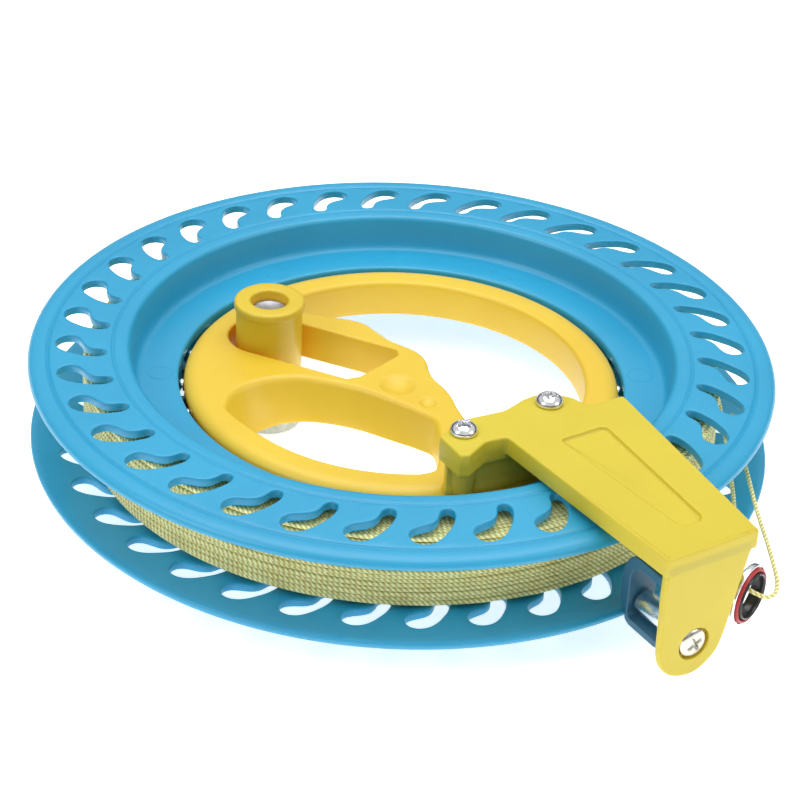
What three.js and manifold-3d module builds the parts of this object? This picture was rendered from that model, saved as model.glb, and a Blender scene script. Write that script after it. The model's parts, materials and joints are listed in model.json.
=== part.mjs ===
// Hand-held kite line reel: a two-shell plastic wheel full of line turns on a ring of steel balls
// round a fixed grip hub, and a bolted arm carries the roller and eyelet that guide the line.
// Millimetres, +Z up along the wheel axis. Each piece is built in the reel's own frame, which has
// its origin on the wheel axis in the middle of the wheel's thickness.
import * as THREE from 'three';
import { mergeVertices } from 'three/addons/utils/BufferGeometryUtils.js';
import Module from 'manifold-3d';

const wasm = await Module();
wasm.setup();

// The wheel's two shells.
const WHEEL_R = 90;
const DRUM_R = 67.5;
const DISH_R = 64.6;
const LEDGE_R = 54.2;
const LEDGE_Z = 4.1;
const SHELL_SPLIT = 0.15;
const RIM_TOP_Z = 12.15;
const SLOT_RING_OUT = 84.6;
const BEAD_TOP_Z = 13.1;
const PLATE_UNDER_Z = 9.6;
const SLOT_COUNT = 36;
const SLOT_HEAD_R = 80.2;
const SLOT_HEAD_RADIUS = 3.2;
const SLOT_TAIL_R = 72.7;
const SLOT_TAIL_RADIUS = 1.7;
const SLOT_HEAD_DEG = 4.8;
const SLOT_SWEEP_DEG = 3.9;
const ANCHOR_HOLE_DEG = 165;

// The six screws that clamp the shells together from below.
const WHEEL_SCREWS = 6;
const WHEEL_SCREW_R = 58.5;
const WHEEL_SCREW_DEG = 5;

// The line wound on the drum.
const PACK_R = 77;
const PACK_HALF = 9.1;

// The ring of balls between the hub and the wheel.
const BALLS = 24;
const BALL_R = 1.6;
const BALL_PITCH_R = 53.3;
const RACE_R = 1.78;
const BALL_DEG = 3.75;

// The grip hub.
const HUB_R = 52.9;
const HUB_BORE = 44.6;
const HUB_HALF = 4.8;
const SLIDE_DEG = 157;
const SLIDE_HALF_WIDTH = 9.2;
const BOSS_R = 3.6;
const BOSS_TOP = 12.1;

// The sliding lock in the hub's slot.
const LOCK_R = 36.3;
const LOCK_POST_R = 8.2;
const LOCK_TOP = 15.1;
const LOCK_BOTTOM = -14.8;
const LOCK_BORE = 4.6;
const LOCK_DISC_Z = -18.4;

// The guide arm runs out from the hub over the rim and turns down beside the wheel.
const ARM_DEG = -56.6;
const ARM_TOP = 18.6;
const ARM_UNDER = 13.8;
const ARM_FOOT = 12.4;
const LEG_OUT = 110;
const LEG_IN = 108.0;
const SCREW_1 = [47.97, -14.27];
const SCREW_2 = [46.9, 9.8];

// The roller and its frame on the inside of the leg.
const AXLE_N = 6.0;
const AXLE_Z = -6.6;
const ROLLER_R = 2.8;

// The eyelet beside the leg.
const EYE = [78, -73.7, -3.5];
const EYE_DEG = -35;
const EYE_RING_R = 7;

// The reel stands with its lowest point at z = 0.
const STAND = [0, 2.136, 19.0];

const DEG = Math.PI / 180;

// A manifold body from a three.js geometry.
function body(geometry) {
  const bare = geometry.clone();
  bare.deleteAttribute('normal');
  bare.deleteAttribute('uv');
  const merged = mergeVertices(bare, 1e-5);
  const vertProperties = new Float32Array(merged.attributes.position.array);
  const triVerts = new Uint32Array(merged.index.array);
  return new wasm.Manifold(new wasm.Mesh({ numProp: 3, vertProperties, triVerts }));
}

// A three.js geometry from a manifold body.
function geometryOf(solid) {
  const mesh = solid.getMesh();
  const geometry = new THREE.BufferGeometry();
  geometry.setAttribute('position', new THREE.BufferAttribute(new Float32Array(mesh.vertProperties), 3));
  geometry.setIndex(new THREE.BufferAttribute(new Uint32Array(mesh.triVerts), 1));
  geometry.computeVertexNormals();
  return geometry;
}

// A ring turned about Z from a closed profile of [radius, height] points, counter-clockwise.
function turned(profile, segments) {
  const closed = [...profile, profile[0]].map(([r, z]) => new THREE.Vector2(r, z));
  return body(new THREE.LatheGeometry(closed, segments).rotateX(Math.PI / 2));
}

// A plate with the outline given by [x, y] points, from z0 up to z1, with bevelled edges.
function plate(points, z0, z1, bevel = 0) {
  const shape = new THREE.Shape(points.map(([x, y]) => new THREE.Vector2(x, y)));
  const options = {
    depth: z1 - z0 - 2 * bevel,
    bevelEnabled: bevel > 0,
    bevelThickness: bevel,
    bevelSize: bevel,
    bevelOffset: -bevel,
    bevelSegments: 2,
  };
  return body(new THREE.ExtrudeGeometry(shape, options).translate(0, 0, z0 + bevel));
}

// An upright cylinder.
function rod(x, y, z0, z1, radius, segments = 20) {
  const geometry = new THREE.CylinderGeometry(radius, radius, z1 - z0, segments);
  return body(geometry.rotateX(Math.PI / 2).translate(x, y, (z0 + z1) / 2));
}

// Points of a circle about [x, y], from one angle to another in degrees.
function arc(x, y, radius, from, to, count) {
  return Array.from({ length: count }, (_, i) => {
    const a = (from + ((to - from) * i) / (count - 1)) * DEG;
    return [x + radius * Math.cos(a), y + radius * Math.sin(a)];
  });
}

function polar(radius, degrees) {
  return [radius * Math.cos(degrees * DEG), radius * Math.sin(degrees * DEG)];
}

function join(...solids) {
  return solids.reduce((all, next) => all.add(next));
}

function cut(solid, ...tools) {
  return tools.reduce((rest, tool) => rest.subtract(tool), solid);
}

const material = (color, roughness, metalness = 0) =>
  new THREE.MeshStandardMaterial({ color, roughness, metalness });
const BLUE = material(0x3aa4d6, 0.35);
const HUB_YELLOW = material(0xe8c84e, 0.4);
const ARM_YELLOW = material(0xdecb45, 0.4);
const TEAL = material(0x3c6e8c, 0.45);
const LINE = material(0xc8c878, 0.85);
const STEEL = material(0xc4c6c8, 0.25, 1);
const ZINC = material(0xb8b7a8, 0.35, 1);
const CAGE = material(0x4a5a60, 0.5);
const RED = material(0xbe3237, 0.4);
const CERAMIC = material(0x3c3a3c, 0.3);

const object = new THREE.Group();
const reel = new THREE.Group();
reel.position.set(...STAND);
object.add(reel);

// The arm's own frame: X out along the arm, Y across it, Z up.
const arm = new THREE.Group();
arm.rotation.z = ARM_DEG * DEG;
reel.add(arm);

function piece(name, solid, look, parent = reel) {
  const mesh = new THREE.Mesh(geometryOf(solid), look);
  mesh.name = name;
  parent.add(mesh);
  return mesh;
}

// One comma-shaped flange slot: a fat head outside and a narrow tail inside.
function slotOutline(index) {
  const degrees = SLOT_HEAD_DEG + (index * 360) / SLOT_COUNT;
  const head = polar(SLOT_HEAD_R, degrees);
  const tail = polar(SLOT_TAIL_R, degrees + SLOT_SWEEP_DEG);
  const lean = Math.atan2(head[1] - tail[1], head[0] - tail[0]) / DEG;
  return [
    ...arc(head[0], head[1], SLOT_HEAD_RADIUS, lean - 100, lean + 75, 7),
    ...arc(tail[0], tail[1], SLOT_TAIL_RADIUS, lean + 90, lean + 255, 4),
  ];
}

// The upper shell: slotted flange, bead, dish wall, ledge and half of the ball race. The profile runs
// from the race up the ledge, out along the top of the flange and back in underneath.
const outerRace = [SHELL_SPLIT, 0.9, 1.35].map((z) =>
  [BALL_PITCH_R + Math.sqrt(RACE_R ** 2 - z ** 2), z]);
const shellProfile = [
  ...outerRace,
  [LEDGE_R, 1.6],
  [LEDGE_R, 3.8],
  [LEDGE_R + 0.4, LEDGE_Z],
  [DISH_R - 1.2, LEDGE_Z],
  [DISH_R, 5.2],
  [DISH_R + 0.8, 12.3],
  [DISH_R + 1.6, BEAD_TOP_Z],
  [DISH_R + 5.0, BEAD_TOP_Z],
  [SLOT_RING_OUT, RIM_TOP_Z],
  [WHEEL_R - 1.3, RIM_TOP_Z - 0.35],
  [WHEEL_R - 0.3, 11.1],
  [WHEEL_R, 10.3],
  [WHEEL_R - 0.8, PLATE_UNDER_Z - 0.1],
  [DRUM_R + 2.5, PLATE_UNDER_Z + 1],
  [DRUM_R + 0.4, PLATE_UNDER_Z + 0.5],
  [DRUM_R, PLATE_UNDER_Z],
  [DRUM_R, SHELL_SPLIT],
];
const slots = Array.from({ length: SLOT_COUNT }, (_, i) =>
  plate(slotOutline(i), PLATE_UNDER_Z - 2, BEAD_TOP_Z + 2));
const upperShell = cut(turned(shellProfile.reverse(), 60), ...slots);
const lowerShell = upperShell.mirror([0, 0, 1]);

const wheelScrewPlaces = Array.from({ length: WHEEL_SCREWS }, (_, i) =>
  polar(WHEEL_SCREW_R, WHEEL_SCREW_DEG + (i * 360) / WHEEL_SCREWS));
const screwHoles = wheelScrewPlaces.map(([x, y]) => rod(x, y, -6, 3, 1.5, 10));
const anchorHole = rod(0, 0, DISH_R - 3, DRUM_R + 3, 1.1, 10)
  .rotate([0, 90, 0]).translate([0, 0, 8.2]).rotate([0, 0, ANCHOR_HOLE_DEG]);
piece('wheel_upper_shell', cut(upperShell, ...screwHoles, anchorHole), BLUE);
piece('wheel_lower_shell', cut(lowerShell, ...screwHoles), BLUE);

// Each wheel screw is a pan head under the lower ledge with its shank up into the upper shell.
wheelScrewPlaces.forEach(([x, y], i) => {
  const head = rod(x, y, -5.9, -LEDGE_Z - 0.05, 2.7, 14);
  const screw = head.add(rod(x, y, -LEDGE_Z - 0.1, 2.7, 1.2, 10));
  piece(`wheel_screw_${i + 1}`, screw, ZINC);
});

// The wound line fills the drum between the flanges.
piece('line_winding', turned([
  [DRUM_R + 0.3, -PACK_HALF],
  [PACK_R - 1.6, -PACK_HALF],
  [PACK_R, -PACK_HALF + 2.5],
  [PACK_R, PACK_HALF - 2.5],
  [PACK_R - 1.6, PACK_HALF],
  [DRUM_R + 0.3, PACK_HALF],
], 60), LINE);

// The steel balls, and the snap-in cage that keeps them apart.
for (let i = 0; i < BALLS; i += 1) {
  const [x, y] = polar(BALL_PITCH_R, BALL_DEG + (i * 360) / BALLS);
  const ball = body(new THREE.SphereGeometry(BALL_R, 8, 6).rotateX(Math.PI / 2)).translate([x, y, 0]);
  piece(`ball_${String(i + 1).padStart(2, '0')}`, ball, STEEL);
}
const CAGE_IN = 51.9;
const CAGE_OUT = 52.7;
const cageRing = turned([[CAGE_IN, -2.9], [CAGE_OUT, -2.9], [CAGE_OUT, -2.0], [CAGE_IN, -2.0]], 48);
const cageFingers = Array.from({ length: BALLS }, (_, i) => {
  const finger = body(new THREE.BoxGeometry(1.7, 1.5, 3.7).translate(CAGE_OUT + 0.55, 0, -1.05));
  return finger.rotate([0, 0, BALL_DEG + ((i + 0.5) * 360) / BALLS]);
});
piece('ball_cage', join(cageRing, ...cageFingers), CAGE);

// The grip hub: a ring with the inner ball race, joined across by a scalloped grip bar.
const hubRing = turned([
  [HUB_BORE, -HUB_HALF + 0.8],
  [HUB_BORE + 0.8, -HUB_HALF],
  [HUB_R - 0.6, -HUB_HALF],
  [HUB_R, -HUB_HALF + 0.6],
  [HUB_R, -3.2],
  [CAGE_IN - 0.3, -3.2],
  [CAGE_IN - 0.3, -1.3],
  [BALL_PITCH_R - RACE_R, 0],
  [BALL_PITCH_R - 0.7 * RACE_R, 0.7 * RACE_R],
  [HUB_R, 1.68],
  [HUB_R, HUB_HALF - 1.2],
  [HUB_R - 0.5, HUB_HALF - 0.4],
  [HUB_R - 1.6, HUB_HALF],
  [HUB_BORE + 1.6, HUB_HALF],
  [HUB_BORE + 0.5, HUB_HALF - 0.5],
  [HUB_BORE, HUB_HALF - 1.6],
], 64);
const gripBar = plate([
  [-33.5, 31.5], [-26, 27.4], [-18.3, 25.7], [-10, 23.7], [-6.7, 19.4], [-3.3, 15.2], [0, 13.2],
  [4.2, 10], [6.4, 5], [6.7, 1.7], [7.9, -2.1], [10.8, -6.2], [12.3, -10], [13.3, -14.2],
  [15.4, -19.4], [19.5, -28], [26, -35], [31.5, -36.5], [20, -42.2], [9.5, -45.9], [9.2, -42],
  [9.2, -24.2], [5.8, -20.8], [-1.7, -16.7], [-10, -12.5], [-20, -9.4], [-27, -10.4], [-33, -14.4],
  [-38.5, -20], [-39.5, -23.5], [-47, -6], [-46, 12],
], -HUB_HALF, HUB_HALF, 0.9);
const slideSlot = plate([
  ...arc(-LOCK_R - 0.9, 0, SLIDE_HALF_WIDTH, 90, 270, 9),
  [-10.5, -SLIDE_HALF_WIDTH], [-8.2, -6.8], [-4.2, SLIDE_HALF_WIDTH - 2.4], [-5.6, SLIDE_HALF_WIDTH],
], -8, 8).rotate([0, 0, SLIDE_DEG - 180]);
const screwSpots = [SCREW_1, SCREW_2].map(([s, n]) => {
  const [dx, dy] = polar(1, ARM_DEG);
  return [s * dx - n * dy, s * dy + n * dx];
});
let hub = join(hubRing, gripBar.intersect(rod(0, 0, -9, 9, HUB_BORE + 2, 64)));
hub = join(hub, ...screwSpots.map(([x, y]) => rod(x, y, 2.5, BOSS_TOP, BOSS_R, 20)));
hub = cut(hub, slideSlot, ...screwSpots.map(([x, y]) => rod(x, y, 2.6, 13, 1.7, 12)));
const dimple = (x, y, radius, depth) => {
  const ball = (radius ** 2 + depth ** 2) / (2 * depth);
  return body(new THREE.SphereGeometry(ball, 20, 18)).translate([x, y, HUB_HALF + ball - depth]);
};
hub = cut(hub, dimple(-0.8, -6.25, 4.6, 1.5), dimple(6.7, -13.75, 2.2, 0.9));
piece('grip_hub', hub, HUB_YELLOW);

// The lock: a moulded post with a steel pin through it and a flange below that holds it in the slot.
const [lockX, lockY] = polar(LOCK_R, SLIDE_DEG);
const post = join(
  rod(lockX, lockY, LOCK_BOTTOM, LOCK_TOP - 0.4, LOCK_POST_R, 36),
  rod(lockX, lockY, LOCK_TOP - 2.2, LOCK_TOP, LOCK_POST_R + 0.5, 36),
);
piece('lock_post', cut(post, rod(lockX, lockY, -20, 20, LOCK_BORE, 28)), HUB_YELLOW);
piece('lock_pin', rod(lockX, lockY, LOCK_BOTTOM - 1.6, LOCK_TOP - 2.4, LOCK_BORE - 0.25, 28), STEEL);
piece('lock_flange', cut(
  rod(lockX, lockY, LOCK_DISC_Z - 0.6, LOCK_BOTTOM - 0.3, 8.6, 36),
  rod(lockX, lockY, LOCK_BOTTOM - 1.9, 0, LOCK_BORE, 28),
  rod(lockX, lockY, -30, LOCK_DISC_Z + 0.2, 7.2, 30),
), STEEL);

// The guide arm, in its own frame.
const tabOutline = [
  [55.8, -20.3], [56.6, -18.2], [53.6, -12.0], [54.3, -6.8], [54.5, 26.5], [52, 27], [52, 17.2],
  [47.5, 16.2], [43.6, 13], [42.3, 9], [42.6, 5.5], [44.6, -1], [43.4, -11], [46.8, -20],
];
const plateOutline = [
  [55.8, -20.3], [56.6, -18.2], [53.6, -12.0], [54.3, -6.8], [LEG_OUT, -4.0], [LEG_OUT, 20.2],
  [52, 27], [52, 17.2], [47.5, 16.2], [43.6, 13], [42.3, 9], [42.6, 5.5], [44.6, -1],
  [43.4, -11], [46.8, -20],
];
const legOutline = [
  [-3.7, -16.5], [-3.8, -8], [-3.5, 0], [-3.1, 7.7], [-2.0, 10.8], [0.3, 13.2], [3.9, 14.7],
  [7.4, 14.7], [10.2, 13.1], [12.6, 10.8], [14.9, 3.8], [16.8, -5.3], [18.6, -13], [19.8, -16.5],
];
// The leg's outline is drawn with its second value as depth, then stood up at the arm's end.
const leg = plate(legOutline.map(([n, depth]) => [depth, n]), LEG_IN, LEG_OUT, 0.5)
  .rotate([0, 90, 0]);
const panelOutline = [
  [62, 3], [100, 6], [101, 7], [101, 11.4], [100, 12.4], [62, 15.4], [61, 14], [61, 4.4],
];
const panel = plate(panelOutline, ARM_TOP - 0.9, ARM_TOP + 2);
const pocketOutline = [[58, -4.9], [104, -0.2], [104, 18.9], [58, 23.8]];
const underPocket = plate(pocketOutline, ARM_UNDER - 2, ARM_UNDER + 2.2);
const armSockets = [SCREW_1, SCREW_2].flatMap(([s, n]) => [
  rod(s, n, 0, BOSS_TOP + 0.3, BOSS_R + 0.3, 20),
  rod(s, n, 0, 30, 1.8, 12),
]);
const alongArm = (s0, s1, n, z, radius, segments = 16) =>
  rod(0, 0, s0, s1, radius, segments).rotate([0, 90, 0]).translate([0, n, z]);
const guideArm = cut(
  join(plate(plateOutline, ARM_UNDER, ARM_TOP, 0.5), plate(tabOutline, ARM_FOOT, ARM_UNDER + 1), leg),
  panel,
  underPocket,
  ...armSockets,
  alongArm(LEG_IN - 5, LEG_OUT + 5, AXLE_N, AXLE_Z, 1.7),
  alongArm(LEG_OUT - 1.1, LEG_OUT + 5, AXLE_N, AXLE_Z, 4.0, 24),
);
piece('guide_arm', guideArm, ARM_YELLOW, arm);

// A pan head screw standing on z0, with a cross recess, and its shank down to z1.
function panScrew(z0, z1, headRadius, headHeight, shankRadius) {
  const head = turned([
    [0.001, z0], [headRadius, z0], [headRadius, z0 + 0.35 * headHeight],
    [0.75 * headRadius, z0 + 0.8 * headHeight], [0.35 * headRadius, z0 + headHeight],
    [0.001, z0 + headHeight],
  ], 14);
  const cross = [0, 90].map((turn) =>
    body(new THREE.BoxGeometry(headRadius * 1.1, 0.8, 2.4)).rotate([0, 0, turn])
      .translate([0, 0, z0 + headHeight + 0.1]));
  return cut(join(head, rod(0, 0, z1, z0 + 0.2, shankRadius, 12)), ...cross);
}
[SCREW_1, SCREW_2].forEach(([s, n], i) => {
  piece(`arm_screw_${i + 1}`, panScrew(ARM_TOP + 0.05, 3, 3.25, 2.4, 1.5).translate([s, n, 0]), STEEL, arm);
});

// The frame that holds the roller's axle on the inside of the leg.
const FRAME_N = [2, 9.6];
const frameSide = [
  [6.7, 107.7], [6.7, 92.8], [5.2, 90.4], [2.4, 88.9], [-1.5, 88.4], [-6.8, 88.4], [-8.8, 90.45],
  [-11.0, 90.6], [-11.8, 92.2], [-11.8, 101.5], [-11.0, 103.4], [-11.0, 107.7],
];
const frameHole = [
  [4.4, 103.6], [4.4, 94.4], [3.4, 92.6], [1.4, 91.4], [-8.8, 91.3], [-9.8, 91.9], [-9.8, 103.6],
];
// Both outlines hold [height, distance along the arm] and are stood on edge across the arm.
const onEdge = (points, n0, n1, bevel) =>
  plate(points.map(([z, s]) => [s, z]), -n1, -n0, bevel).rotate([90, 0, 0]);
const bracket = cut(
  onEdge(frameSide, ...FRAME_N, 0.5),
  onEdge(frameHole, 0, 12, 0),
  alongArm(90.3, 110, AXLE_N, AXLE_Z, 1.7),
);
piece('guide_bracket', bracket, TEAL, arm);

// The roller turns on the shank of the screw that holds the frame to the leg.
piece('guide_roller', cut(
  alongArm(92.0, 103.2, AXLE_N, AXLE_Z, ROLLER_R, 28),
  alongArm(90, 110, AXLE_N, AXLE_Z, 1.6, 16),
), STEEL, arm);
piece('guide_screw', panScrew(LEG_OUT - 1.05, 90.6, 3.6, 1.5, 1.35).rotate([0, 90, 0])
  .translate([0, AXLE_N, AXLE_Z]), ZINC, arm);

// The eyelet: a wire frame on a small foot, a shock ring in it, and a hard insert in that.
function eyeletRing(inner, outer, halfWidth) {
  const chamfer = 0.3 * (outer - inner);
  const ring = turned([
    [inner + chamfer, -halfWidth], [outer - chamfer, -halfWidth], [outer, -halfWidth + chamfer],
    [outer, halfWidth - chamfer], [outer - chamfer, halfWidth], [inner + chamfer, halfWidth],
    [inner, halfWidth - chamfer], [inner, -halfWidth + chamfer],
  ], 24);
  return ring.rotate([0, 90, 0]).rotate([0, 0, EYE_DEG]).translate(EYE);
}
const legSide = (s, n, z) => {
  const [dx, dy] = polar(1, ARM_DEG);
  return [s * dx - n * dy, s * dy + n * dx, z];
};
function strut(from, to, radius) {
  const path = new THREE.LineCurve3(new THREE.Vector3(...from), new THREE.Vector3(...to));
  const length = path.getLength();
  const turn = new THREE.Quaternion().setFromUnitVectors(new THREE.Vector3(0, 1, 0),
    path.getTangent(0));
  const geometry = new THREE.CylinderGeometry(radius, radius, length, 12);
  return body(geometry.applyQuaternion(turn).translate(...path.getPoint(0.5).toArray()));
}
const footCentre = legSide(LEG_IN - 1.0, 13.2, -4);
const footEdge = legSide(LEG_IN - 1.0, 15.4, -4);
const foot = body(new THREE.BoxGeometry(1.2, 5.2, 7)).rotate([0, 0, ARM_DEG]).translate(footCentre);
const [eyeSideX, eyeSideY] = polar(EYE_RING_R, EYE_DEG - 90);
const ringSide = (z) => {
  const across = Math.cos(z / EYE_RING_R);
  return [EYE[0] + eyeSideX * across, EYE[1] + eyeSideY * across, EYE[2] + z];
};
piece('eyelet_frame', join(
  eyeletRing(EYE_RING_R - 0.4, EYE_RING_R + 0.4, 0.75),
  foot,
  strut(footEdge, ringSide(2.6), 0.6),
  strut(footEdge, ringSide(-2.6), 0.6),
), STEEL);
piece('eyelet_shock_ring', eyeletRing(5.75, EYE_RING_R - 0.5, 1.3), RED);
piece('eyelet_insert', eyeletRing(4.8, 5.65, 1.7), CERAMIC);

// The free line: off the pack, out through the eyelet, round its front and back between the flanges.
const LINE_R = 0.5;
const linePoints = [
  [77.9, 1.5, 0.2], [78.0, -10, 0.3], [77.9, -22, 0.4], [77.7, -34, 0.4], [77.4, -44, 0.3],
  [76.7, -54, 0.3], [75.6, -63, 0.3], [74.7, -69, 0.1], [74.7, -73.1, -0.1], [76.7, -75.5, -0.1],
  [79.2, -77.1, -0.7], [81.7, -77.5, -1.3], [83.5, -76.2, -1.2], [84.3, -73.4, -0.6],
  [84.2, -70, 0.1], [83.7, -65, 0.8], [83.1, -59, 1.3], [82.4, -53, 1.7], [81.8, -46, 2.1],
  [81.2, -38, 2.8], [80.6, -30, 3.6], [80.0, -22, 4.4], [79.4, -13, 5.2],
].map((p) => new THREE.Vector3(...p));
const route = new THREE.CatmullRomCurve3(linePoints, false, 'centripetal');
const ring = new THREE.Shape(arc(0, 0, LINE_R, 0, 300, 6).map(([x, y]) => new THREE.Vector2(x, y)));
const freeLine = new THREE.ExtrudeGeometry(ring, { steps: 90, bevelEnabled: false, extrudePath: route });
piece('free_line', body(freeLine), LINE);

export default object;
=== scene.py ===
"""Looks for a hand-held line reel: a slotted two-shell wheel full of twisted line that turns on a
ring of balls round a moulded grip hub, with a bolted arm that carries the roller and the eyelet.
Shapes are worked out in millimetres about the middle of the wheel and placed in the row frame."""
import json
import math

import bmesh
import bpy
import numpy as np
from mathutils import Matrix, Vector
from mathutils.geometry import tessellate_polygon


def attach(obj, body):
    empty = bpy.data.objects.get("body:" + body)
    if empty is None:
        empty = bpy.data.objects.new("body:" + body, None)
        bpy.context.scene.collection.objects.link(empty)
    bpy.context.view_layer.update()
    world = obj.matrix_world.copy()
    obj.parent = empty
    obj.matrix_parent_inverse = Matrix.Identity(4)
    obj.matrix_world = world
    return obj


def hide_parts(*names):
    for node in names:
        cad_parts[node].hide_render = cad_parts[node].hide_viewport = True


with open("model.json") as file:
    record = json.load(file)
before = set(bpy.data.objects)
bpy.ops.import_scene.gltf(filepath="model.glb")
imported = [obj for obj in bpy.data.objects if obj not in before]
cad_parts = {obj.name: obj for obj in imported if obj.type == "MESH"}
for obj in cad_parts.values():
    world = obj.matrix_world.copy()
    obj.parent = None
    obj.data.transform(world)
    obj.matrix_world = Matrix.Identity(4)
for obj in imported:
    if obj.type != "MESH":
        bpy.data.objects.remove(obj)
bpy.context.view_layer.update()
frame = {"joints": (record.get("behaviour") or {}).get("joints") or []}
joints = {joint["name"]: joint for joint in frame["joints"]}
wheel_centre = np.array(joints["wheel_spin"]["pos_m"])


# ---- Camera: it stands in front of the reel and looks down on it at about 32 degrees, rolled
# a little because the reel leans on the foot of its lock.
camera_data = bpy.data.cameras.new("camera")
camera_data.lens = 108
camera_data.sensor_width = 36
camera = bpy.data.objects.new("camera", camera_data)
bpy.context.scene.collection.objects.link(camera)
look_down, roll = 0.551418, 0.050138
level, drop = math.cos(look_down), math.sin(look_down)
stand = np.eye(4)
stand[:3, 0] = math.cos(roll), math.sin(roll) * drop, math.sin(roll) * level
stand[:3, 1] = -math.sin(roll), math.cos(roll) * drop, math.cos(roll) * level
stand[:3, 2] = 0, -level, drop
stand[:3, 3] = wheel_centre + np.array([-0.000090, -0.501357, 0.304982])
camera.matrix_world = stand.T.tolist()
bpy.context.scene.camera = camera


# ---- Free line: the same twisted polyester line as on the drum. It leaves the winding, goes out
# through the eyelet, round its front, and its end is tucked back between the flanges.
def smooth_route(points, spacing):
    """A centripetal Catmull-Rom curve through the points, resampled at even spacing along it."""
    points = np.array(points, float)
    ends = np.vstack([2 * points[0] - points[1], points, 2 * points[-1] - points[-2]])
    pieces = []
    for a, b, c, d in zip(ends[:-3], ends[1:-2], ends[2:-1], ends[3:]):
        t0 = 0.0
        t1 = t0 + np.linalg.norm(b - a) ** 0.5
        t2 = t1 + np.linalg.norm(c - b) ** 0.5
        t3 = t2 + np.linalg.norm(d - c) ** 0.5
        t = np.linspace(t1, t2, 40, endpoint=False)[:, None]
        a1 = (t1 - t) / (t1 - t0) * a + (t - t0) / (t1 - t0) * b
        a2 = (t2 - t) / (t2 - t1) * b + (t - t1) / (t2 - t1) * c
        a3 = (t3 - t) / (t3 - t2) * c + (t - t2) / (t3 - t2) * d
        b1 = (t2 - t) / (t2 - t0) * a1 + (t - t0) / (t2 - t0) * a2
        b2 = (t3 - t) / (t3 - t1) * a2 + (t - t1) / (t3 - t1) * a3
        pieces.append((t2 - t) / (t2 - t1) * b1 + (t - t1) / (t2 - t1) * b2)
    fine = np.vstack(pieces + [points[-1:]])
    along = np.concatenate([[0], np.cumsum(np.linalg.norm(np.diff(fine, axis=0), axis=1))])
    stops = np.linspace(0, along[-1], int(along[-1] / spacing) + 1)
    return np.stack([np.interp(stops, along, fine[:, k]) for k in range(3)], 1), along[-1]


def grid_faces(rows, columns, close_rows=False, close_columns=False):
    """Quads between neighbouring points of a rows by columns grid, closed on itself as asked."""
    r = np.arange(rows if close_rows else rows - 1)
    c = np.arange(columns if close_columns else columns - 1)
    r, c = np.meshgrid(r, c, indexing="ij")
    r2, c2 = (r + 1) % rows, (c + 1) % columns
    corners = [r * columns + c, r * columns + c2, r2 * columns + c2, r2 * columns + c]
    return np.stack(corners, -1).reshape(-1, 4)


def make_piece(name, points, faces, finish, body, replaces=(), sharp=40, uv=None,
               periods=(1e9, 1)):
    """A mesh from points in millimetres about the wheel's centre, smooth but for edges over sharp
    degrees, with its faces outward, riding on a body of the frame. Points that coincide are welded
    unless it has a uv, which repeats by periods."""
    mesh = bpy.data.meshes.new(name)
    placed = np.asarray(points, float).reshape(-1, 3) / 1000 + wheel_centre
    faces = faces.tolist() if isinstance(faces, np.ndarray) else faces
    mesh.from_pydata(placed.tolist(), [], faces)
    if uv is not None:
        layer = mesh.uv_layers.new(name="lay")
        corner = np.empty(len(mesh.loops), np.int64)
        mesh.loops.foreach_get("vertex_index", corner)
        start, total = (np.empty(len(mesh.polygons), np.int64) for _ in range(2))
        mesh.polygons.foreach_get("loop_start", start)
        mesh.polygons.foreach_get("loop_total", total)
        spots = np.asarray(uv, float).reshape(-1, 2)[corner]
        for axis, period in enumerate(periods):
            most = np.repeat(np.maximum.reduceat(spots[:, axis], start), total)
            spots[:, axis] += np.where(most - spots[:, axis] > period / 2, period, 0)
        layer.data.foreach_set("uv", spots.reshape(-1).astype(np.float32))
    work = bmesh.new()
    work.from_mesh(mesh)
    if uv is None:
        bmesh.ops.remove_doubles(work, verts=work.verts, dist=2e-7)
    bmesh.ops.recalc_face_normals(work, faces=work.faces)
    work.to_mesh(mesh)
    work.free()
    mesh.polygons.foreach_set("use_smooth", np.ones(len(mesh.polygons), bool))
    mesh.set_sharp_from_angle(angle=math.radians(sharp))
    piece = bpy.data.objects.new(name, mesh)
    bpy.context.scene.collection.objects.link(piece)
    mesh.materials.append(finish)
    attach(piece, body)
    if replaces:
        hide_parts(*replaces)
    return piece


LAYS_ROUND = 480


def tube(route, radius, sides, closed=False):
    """Points and uv of a round tube carried along a route: circles of the given radius across it.
    Along, uv counts strands of the twist, about one a millimetre; across, it goes once round."""
    ahead = np.roll(route, -1, 0) - np.roll(route, 1, 0)
    if not closed:
        ahead[0], ahead[-1] = route[1] - route[0], route[-1] - route[-2]
    ahead /= np.linalg.norm(ahead, axis=1, keepdims=True)
    side = np.cross(ahead, [0, 0, 1.0])
    side /= np.linalg.norm(side, axis=1, keepdims=True)
    over = np.cross(side, ahead)
    turn = np.linspace(0, 2 * np.pi, sides, endpoint=False)
    ring = np.cos(turn)[None, :, None] * side[:, None] + np.sin(turn)[None, :, None] * over[:, None]
    if closed:
        along = np.arange(len(route)) / len(route) * LAYS_ROUND
    else:
        step = np.linalg.norm(np.diff(route, axis=0), axis=1)
        along = np.concatenate([[0], np.cumsum(step)])
    u, v = np.meshgrid(along, np.arange(sides) / sides, indexing="ij")
    return route[:, None] + radius * ring, np.stack([u, v], -1)


def new_material(name, roughness):
    """A node material with its shader's roughness set, and what is needed to add nodes to it."""
    material = bpy.data.materials.new(name)
    material.use_nodes = True
    nodes, links = material.node_tree.nodes, material.node_tree.links
    shader = nodes["Principled BSDF"]
    shader.inputs["Roughness"].default_value = roughness
    return material, nodes, links, shader


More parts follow.
